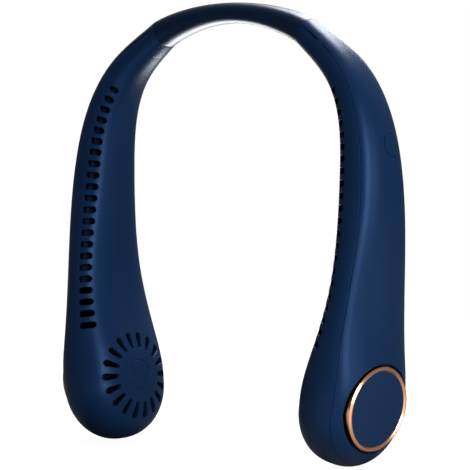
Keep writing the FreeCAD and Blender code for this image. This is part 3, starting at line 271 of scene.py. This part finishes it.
def cut_half(node, side):
    """Copy of a CAD node's mesh on one side of the middle plane, closed where it is cut."""
    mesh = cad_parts[node].data.copy()
    mesh.name = side + "_" + node
    work = bmesh.new()
    work.from_mesh(mesh)
    bmesh.ops.remove_doubles(work, verts=work.verts, dist=WELD_DISTANCE)
    everything = work.verts[:] + work.edges[:] + work.faces[:]
    keep_left = side == "left"
    cut = bmesh.ops.bisect_plane(
        work, geom=everything, plane_co=(0, 0, 0), plane_no=(1, 0, 0), dist=CUT_TOLERANCE,
        clear_outer=keep_left, clear_inner=not keep_left)
    rim = [item for item in cut["geom_cut"] if isinstance(item, bmesh.types.BMEdge)]
    bmesh.ops.holes_fill(work, edges=rim, sides=0)
    bmesh.ops.recalc_face_normals(work, faces=work.faces)
    work.to_mesh(mesh)
    work.free()
    piece = bpy.data.objects.new(mesh.name, mesh)
    bpy.context.scene.collection.objects.link(piece)
    return piece


def bend_with_arm(piece):
    """Bake the piece's placement into its mesh."""
    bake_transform(piece)


# Finishes ---------------------------------------------------------------------------------------
def new_group(name, inputs, outputs):
    """Empty shader node group with named number sockets."""
    group = bpy.data.node_groups.new(name, "ShaderNodeTree")
    kind = "NodeSocketFloat"
    for label, default in inputs:
        socket = group.interface.new_socket(label, in_out="INPUT", socket_type=kind)
        socket.default_value = default
    for label in outputs:
        group.interface.new_socket(label, in_out="OUTPUT", socket_type=kind)
    return group, group.nodes.new("NodeGroupInput"), group.nodes.new("NodeGroupOutput")


def feed(tree, socket, value):
    """Link a socket, or set a plain value; None leaves the input as it is."""
    if isinstance(value, bpy.types.NodeSocket):
        tree.links.new(value, socket)
    elif value is not None:
        socket.default_value = value


def math_node(tree, operation, first, second=None):
    """Math node whose inputs are sockets or numbers; returns its output."""
    item = tree.nodes.new("ShaderNodeMath")
    item.operation = operation
    feed(tree, item.inputs[0], first)
    feed(tree, item.inputs[1], second)
    return item.outputs[0]


def vector_node(tree, operation, first, second=None):
    """Vector math node whose inputs are sockets or vectors; returns the node."""
    item = tree.nodes.new("ShaderNodeVectorMath")
    item.operation = operation
    feed(tree, item.inputs[0], first)
    feed(tree, item.inputs[1], second)
    return item


def spread(tree, value, low, high):
    """Stretch a value between low and high to 0..1."""
    item = tree.nodes.new("ShaderNodeMapRange")
    item.inputs["From Min"].default_value = low
    item.inputs["From Max"].default_value = high
    tree.links.new(value, item.inputs["Value"])
    return item.outputs["Result"]


def noise(tree, vector, scale, detail):
    """Noise over a vector; the scale is a socket or a number."""
    item = tree.nodes.new("ShaderNodeTexNoise")
    item.inputs["Detail"].default_value = detail
    tree.links.new(vector, item.inputs["Vector"])
    feed(tree, item.inputs["Scale"], scale)
    return item.outputs["Fac"]


def make_moulded_skin():
    """Texture of a moulded surface: grain, broad clouds of sheen and faint hairlines."""
    group, entry, leave = new_group(
        "moulded_skin", [("Grain", GRAIN_SCALE), ("Cloud", CLOUD_SCALE)],
        ["Height", "Cloud", "Hairline"])
    place = group.nodes.new("ShaderNodeTexCoord").outputs["Object"]
    grain = noise(group, place, entry.outputs["Grain"], detail=2.0)
    group.links.new(grain, leave.inputs["Height"])
    cloud = noise(group, place, entry.outputs["Cloud"], detail=3.0)
    group.links.new(spread(group, cloud, *CLOUD_RANGE), leave.inputs["Cloud"])
    stretched = group.nodes.new("ShaderNodeMapping")
    stretched.inputs["Rotation"].default_value = HAIR_TURN
    stretched.inputs["Scale"].default_value = HAIR_SCALE
    group.links.new(place, stretched.inputs["Vector"])
    hair = noise(group, stretched.outputs["Vector"], scale=1.0, detail=1.0)
    group.links.new(spread(group, hair, *HAIR_RANGE), leave.inputs["Hairline"])
    return group


def make_turned_lines():
    """Texture of turned metal: noise along the distance from the blower axis, alike on both arms.

    The left arm is folded onto the right; the distance is the length of the cross product of
    the axis and the way from the disc's centre.
    """
    group, entry, leave = new_group("turned_lines", [("Lines", LINE_SCALE)], ["Height", "Streak"])
    place = group.nodes.new("ShaderNodeTexCoord").outputs["Object"]
    folded = vector_node(group, "ABSOLUTE", place).outputs[0]
    split = group.nodes.new("ShaderNodeSeparateXYZ")
    group.links.new(place, split.inputs[0])
    split_folded = group.nodes.new("ShaderNodeSeparateXYZ")
    group.links.new(folded, split_folded.inputs[0])
    joined = group.nodes.new("ShaderNodeCombineXYZ")
    group.links.new(split_folded.outputs["X"], joined.inputs["X"])
    group.links.new(split.outputs["Y"], joined.inputs["Y"])
    group.links.new(split.outputs["Z"], joined.inputs["Z"])
    arm = vector_node(group, "SUBTRACT", joined.outputs[0], DISC_CENTRE).outputs[0]
    off_axis = vector_node(group, "CROSS_PRODUCT", arm, DISC_AXIS).outputs[0]
    radius = vector_node(group, "LENGTH", off_axis).outputs["Value"]
    lines = group.nodes.new("ShaderNodeTexNoise")
    lines.noise_dimensions = "1D"
    lines.inputs["Detail"].default_value = 2.0
    group.links.new(radius, lines.inputs["W"])
    group.links.new(entry.outputs["Lines"], lines.inputs["Scale"])
    group.links.new(lines.outputs["Fac"], leave.inputs["Height"])
    streak = noise(group, place, STREAK_SCALE, detail=2.0)
    group.links.new(streak, leave.inputs["Streak"])
    return group


MOULDED_SKIN = make_moulded_skin()
TURNED_LINES = make_turned_lines()


def start_material(name, group, values):
    """Material with its shader and one texture group set to its own values."""
    material = bpy.data.materials.new(name)
    material.use_nodes = True
    tree = material.node_tree
    texture = tree.nodes.new("ShaderNodeGroup")
    texture.node_tree = group
    for label, value in values.items():
        texture.inputs[label].default_value = value
    return material, tree, tree.nodes["Principled BSDF"], texture


def blend_colours(tree, factor, first, second, socket):
    """Feed a colour socket with a mix of two colours."""
    item = tree.nodes.new("ShaderNodeMix")
    item.data_type = "RGBA"
    item.inputs["A"].default_value = first
    item.inputs["B"].default_value = second
    tree.links.new(factor, item.inputs["Factor"])
    tree.links.new(item.outputs["Result"], socket)


def emboss(tree, shader, height, depth, softened=0.0):
    """Bump of a given depth on the shader's normal, over edges softened to a radius."""
    bump = tree.nodes.new("ShaderNodeBump")
    bump.inputs["Strength"].default_value = 1.0
    bump.inputs["Distance"].default_value = depth
    tree.links.new(height, bump.inputs["Height"])
    if softened:
        edge = tree.nodes.new("ShaderNodeBevel")
        edge.samples = EDGE_SAMPLES
        edge.inputs["Radius"].default_value = softened
        tree.links.new(edge.outputs["Normal"], bump.inputs["Normal"])
    tree.links.new(bump.outputs["Normal"], shader.inputs["Normal"])


def moulded(
    name, colour, shade, rough, span, grain=GRAIN_SCALE, depth=GRAIN_DEPTH,
    cloud=CLOUD_SCALE, metal=0.0, tint=(1.0, 1.0, 1.0), softened=0.0,
):
    """Moulded, sintered or cast finish.

    Two near colours in clouds, a grain bump, and clouds and hairlines that add up to the span
    each to the roughness.
    """
    material, tree, shader, skin = start_material(
        name, MOULDED_SKIN, {"Grain": grain, "Cloud": cloud})
    shader.inputs["Metallic"].default_value = metal
    shader.inputs["Specular Tint"].default_value = (*tint, 1.0)
    blend_colours(
        tree, skin.outputs["Cloud"], (*colour, 1.0), (*shade, 1.0), shader.inputs["Base Color"])
    patchy = math_node(tree, "MULTIPLY", skin.outputs["Cloud"], span)
    scuffed = math_node(tree, "MULTIPLY", skin.outputs["Hairline"], span)
    gloss = math_node(tree, "ADD", math_node(tree, "ADD", patchy, scuffed), rough)
    tree.links.new(gloss, shader.inputs["Roughness"])
    emboss(tree, shader, skin.outputs["Height"], depth, softened)
    return material


def turned(name, colour, shade, rough, span):
    """Polished or turned metal: fine rings about the blower axis and faint streaks of colour."""
    material, tree, shader, work = start_material(name, TURNED_LINES, {"Lines": LINE_SCALE})
    shader.inputs["Metallic"].default_value = 1.0
    blend_colours(
        tree, work.outputs["Streak"], (*colour, 1.0), (*shade, 1.0), shader.inputs["Base Color"])
    lined = math_node(tree, "MULTIPLY", work.outputs["Height"], span)
    tree.links.new(math_node(tree, "ADD", lined, rough), shader.inputs["Roughness"])
    emboss(tree, shader, work.outputs["Height"], LINE_DEPTH)
    return material


def finish(material, *names):
    """Give CAD nodes a finish in their own slots."""
    for name in names:
        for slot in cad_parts[name].material_slots:
            slot.material = material


def both(*names):
    """The names of the nodes that are alike in the left and the right arm."""
    return [side + "_" + name for name in names for side in ("left", "right")]


NAVY = (0.0050, 0.0200, 0.0640)
NAVY_SHADE = (0.0046, 0.0185, 0.0600)
NAVY_GLOSS = (0.12, 0.24, 0.50)

casing = moulded(
    "casing", NAVY, NAVY_SHADE, rough=0.345, span=0.025,
    depth=2.5e-6, tint=NAVY_GLOSS, softened=CASING_EDGE)
cap_face = moulded(
    "cap_face", NAVY, NAVY_SHADE, rough=0.38, span=0.03,
    grain=3200.0, depth=6e-6, tint=NAVY_GLOSS)
silicone = moulded(
    "silicone", (0.0036, 0.0125, 0.0330), (0.0032, 0.0112, 0.0300), rough=0.36, span=0.05,
    grain=1800.0, depth=5e-6, tint=NAVY_GLOSS)
rose_gold = turned(
    "rose_gold", (0.95, 0.49, 0.28), (0.91, 0.45, 0.24), rough=0.18, span=0.06)
screw_steel = turned(
    "screw_steel", (0.42, 0.42, 0.44), (0.36, 0.36, 0.38), rough=0.28, span=0.15)
motor_alloy = moulded(
    "motor_alloy", (0.58, 0.58, 0.60), (0.50, 0.50, 0.52), rough=0.42, span=0.15,
    grain=1500.0, metal=1.0)
bronze = moulded(
    "bronze", (0.52, 0.36, 0.19), (0.42, 0.28, 0.14), rough=0.45, span=0.15,
    grain=5000.0, depth=3e-5, metal=1.0)
lamination = moulded(
    "lamination", (0.29, 0.30, 0.32), (0.22, 0.23, 0.25), rough=0.40, span=0.2,
    grain=2200.0, metal=1.0)
copper = moulded(
    "copper", (0.72, 0.33, 0.17), (0.60, 0.25, 0.12), rough=0.28, span=0.12,
    grain=4200.0, depth=6e-5, metal=1.0)
inner_plastic = moulded(
    "inner_plastic", (0.0036, 0.0090, 0.0240), (0.0030, 0.0078, 0.0210), rough=0.50, span=0.12,
    tint=NAVY_GLOSS)
fan_plastic = moulded(
    "fan_plastic", (0.0045, 0.0075, 0.0150), (0.0036, 0.0060, 0.0120), rough=0.45, span=0.12,
    tint=NAVY_GLOSS)
cell_wrap = moulded(
    "cell_wrap", (0.56, 0.57, 0.61), (0.48, 0.49, 0.53), rough=0.30, span=0.2,
    grain=700.0, depth=6e-5, metal=0.9)
lead_sleeve = moulded(
    "lead_sleeve", (0.020, 0.020, 0.022), (0.014, 0.014, 0.016), rough=0.45, span=0.1,
    grain=1800.0)
can_steel = turned(
    "can_steel", (0.62, 0.62, 0.64), (0.54, 0.54, 0.56), rough=0.24, span=0.15)
ferrite = moulded(
    "ferrite", (0.10, 0.10, 0.11), (0.07, 0.07, 0.08), rough=0.55, span=0.15,
    grain=3500.0, depth=3e-5)
board = moulded(
    "board", (0.012, 0.115, 0.045), (0.008, 0.075, 0.030), rough=0.30, span=0.12,
    grain=900.0, depth=2e-5, cloud=420.0)
strip_steel = moulded(
    "strip_steel", (0.46, 0.47, 0.49), (0.38, 0.39, 0.41), rough=0.25, span=0.15,
    grain=1200.0, metal=1.0)

finish(casing, *both("inner_shell", "outer_shell", "screw_cover"), "power_button")
finish(cap_face, *both("intake_cap"))
finish(rose_gold, *both("trim_ring"))
finish(
    screw_steel, *both("clamp_screw", "cap_screw", "motor_screws", "motor_shaft"),
    "charge_socket")
finish(motor_alloy, *both("motor_base"))
finish(bronze, *both("motor_bearings"))
finish(lamination, *both("stator_core"))
finish(copper, *both("stator_coils"))
finish(inner_plastic, *both("duct_plate"), "switch_body", "switch_plunger", "charge_tongue")
finish(fan_plastic, *both("impeller"))
finish(cell_wrap, *both("battery_cell"))
finish(lead_sleeve, *both("motor_lead"))
finish(can_steel, *both("rotor_can"))
finish(ferrite, *both("rotor_magnet"))
finish(board, "control_board")

# The band and what runs in it, as left and right halves
for side in ("left", "right"):
    sleeve = band_half(side + "_band", side == "left")
    strip = cut_half("spring_strip", side)
    cable = cut_half("band_cable", side)
    for piece, material, slot, node in (
        (sleeve, silicone, "silicone", "neck_band"),
        (strip, strip_steel, "can_steel", "spring_strip"),
        (cable, lead_sleeve, "lead_sleeve", "band_cable"),
    ):
        piece.data.materials.clear()
        piece.data.materials.append(material)
        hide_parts(node)
        bend_with_arm(piece)


# Studio -----------------------------------------------------------------------------------------
def seen_directly(tree, path):
    """1 for rays from the camera, also through clear things."""
    return math_node(
        tree, "MAXIMUM", path.outputs["Is Camera Ray"], path.outputs["Is Transmission Ray"])


def lit_floor():
    """White floor: a glow lifts it for the camera, and in front of the object for reflections."""
    material = bpy.data.materials.new("floor")
    material.use_nodes = True
    tree = material.node_tree
    plain = tree.nodes["Principled BSDF"]
    plain.inputs["Base Color"].default_value = FLOOR_SHADE
    plain.inputs["Roughness"].default_value = FLOOR_ROUGH
    plain.inputs["Specular IOR Level"].default_value = 0.0
    glow = tree.nodes.new("ShaderNodeEmission")
    glow.inputs["Strength"].default_value = FLOOR_GLOW
    lifted = tree.nodes.new("ShaderNodeAddShader")
    tree.links.new(plain.outputs[0], lifted.inputs[0])
    tree.links.new(glow.outputs[0], lifted.inputs[1])
    path = tree.nodes.new("ShaderNodeLightPath")
    place = tree.nodes.new("ShaderNodeTexCoord").outputs["Object"]
    front = vector_node(tree, "DOT_PRODUCT", place, FLOOR_FRONT).outputs["Value"]
    mirrored = math_node(
        tree, "MULTIPLY", path.outputs["Is Glossy Ray"], spread(tree, front, *FLOOR_FRONT_RANGE))
    choose = tree.nodes.new("ShaderNodeMixShader")
    tree.links.new(
        math_node(tree, "MAXIMUM", seen_directly(tree, path), mirrored), choose.inputs[0])
    tree.links.new(plain.outputs[0], choose.inputs[1])
    tree.links.new(lifted.outputs[0], choose.inputs[2])
    tree.links.new(choose.outputs[0], tree.nodes["Material Output"].inputs["Surface"])
    return material


def make_floor(half, height):
    """Square floor just under the arms."""
    mesh = bpy.data.meshes.new("floor")
    corners = [(x * half, y * half, height) for x, y in ((-1, -1), (1, -1), (1, 1), (-1, 1))]
    mesh.from_pydata(corners, [], [(0, 1, 2, 3)])
    floor = bpy.data.objects.new("floor", mesh)
    bpy.context.scene.collection.objects.link(floor)
    mesh.materials.append(lit_floor())


def soft_dome():
    """World: white to the camera; to the object dim at the horizon and brighter overhead."""
    world = bpy.data.worlds.new("studio")
    bpy.context.scene.world = world
    world.use_nodes = True
    tree = world.node_tree
    seen = tree.nodes["Background"]
    seen.inputs["Color"].default_value = WHITE
    seen.inputs["Strength"].default_value = 1.0
    dome = tree.nodes.new("ShaderNodeBackground")
    split = tree.nodes.new("ShaderNodeSeparateXYZ")
    direction = tree.nodes.new("ShaderNodeTexCoord").outputs["Generated"]
    tree.links.new(direction, split.inputs[0])
    height = spread(tree, split.outputs["Z"], *DOME_RANGE)
    blend_colours(tree, height, DOME_HORIZON, DOME_TOP, dome.inputs["Color"])
    path = tree.nodes.new("ShaderNodeLightPath")
    choose = tree.nodes.new("ShaderNodeMixShader")
    tree.links.new(seen_directly(tree, path), choose.inputs[0])
    tree.links.new(dome.outputs[0], choose.inputs[1])
    tree.links.new(seen.outputs[0], choose.inputs[2])
    tree.links.new(choose.outputs[0], tree.nodes["World Output"].inputs["Surface"])


def soft_lamp(name, place, aim, width, height, glow):
    """Oblong lamp that faces a point; its power gives the glow its face has."""
    lamp = bpy.data.lights.new(name, "AREA")
    lamp.shape = "RECTANGLE"
    lamp.size = width
    lamp.size_y = height
    lamp.energy = glow * width * height * math.pi
    holder = bpy.data.objects.new(name, lamp)
    bpy.context.scene.collection.objects.link(holder)
    holder.location = place
    holder.visible_camera = False
    holder.rotation_euler = (Vector(aim) - Vector(place)).to_track_quat("-Z", "Y").to_euler()


def photo_camera():
    """Camera that looks at the target from the photograph's direction, with its roll."""
    a, e, r = VIEW_AZIMUTH, VIEW_ELEVATION, VIEW_ROLL
    back = Vector((math.sin(a) * math.cos(e), -math.cos(a) * math.cos(e), math.sin(e)))
    level = Vector((math.cos(a), math.sin(a), 0))
    upright = back.cross(level)
    right = level * math.cos(r) + upright * math.sin(r)
    up = upright * math.cos(r) - level * math.sin(r)
    lens = bpy.data.cameras.new("camera")
    lens.lens = VIEW_LENS
    lens.sensor_width = SENSOR
    camera = bpy.data.objects.new("camera", lens)
    bpy.context.scene.collection.objects.link(camera)
    turn = Matrix((right, up, back)).transposed().to_4x4()
    camera.matrix_world = Matrix.Translation(VIEW_TARGET + back * VIEW_DISTANCE) @ turn
    bpy.context.scene.camera = camera


make_floor(FLOOR_HALF, cad_box[0][2] - FLOOR_DROP)
soft_dome()
for lamp_name, setting in LAMPS.items():
    soft_lamp(lamp_name, *setting)
photo_camera()
bpy.context.scene.view_settings.view_transform = "Standard"
